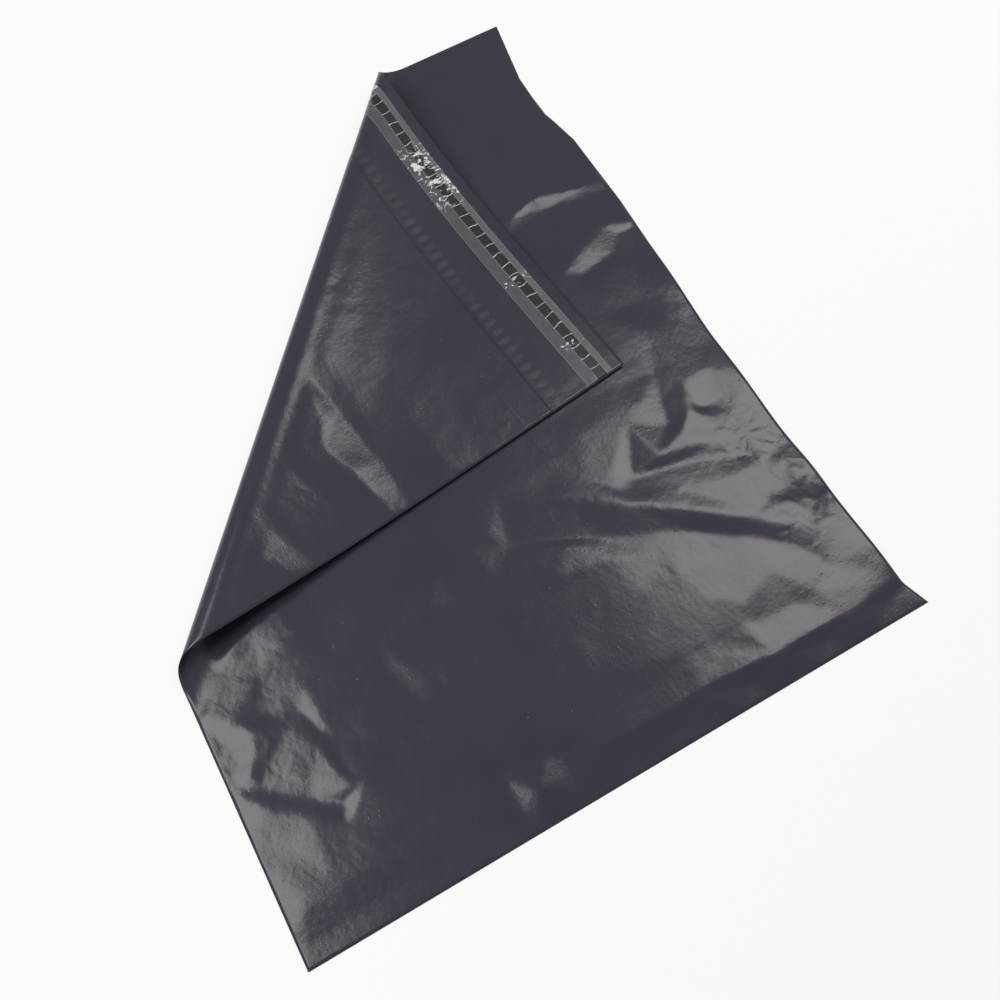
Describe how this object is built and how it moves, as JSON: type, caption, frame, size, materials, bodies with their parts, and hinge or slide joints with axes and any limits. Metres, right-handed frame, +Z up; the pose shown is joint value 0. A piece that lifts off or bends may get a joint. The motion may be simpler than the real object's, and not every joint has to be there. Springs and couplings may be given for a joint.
{
  "type": "poly mailing bag",
  "caption": "Empty plain polythene mailing bag lying flat, with a lip, closing strip and release liner, one mouth corner folded over in a soft roll",
  "frame": {"origin": "on the floor that the bag lies on, at the centre of the bag's overall box", "axes": "+Z up from the floor, +Y along the bag from its closed bottom to its mouth, +X to the right when the folded corner is at the upper left"},
  "size_m": [0.3556, 0.4572, 0.018],
  "materials": {
    "grey_film": "dark charcoal polythene film, opaque, semi-gloss with a fine crinkle",
    "closing_glue": "pressure-sensitive hot-melt glue, tacky and slightly glossy",
    "clear_liner": "clear release film with small puckers"
  },
  "bodies": {
    "root": {"mailer_bag": "grey_film", "adhesive_strip": "closing_glue", "release_liner": "clear_liner"}
  },
  "joints": []
}
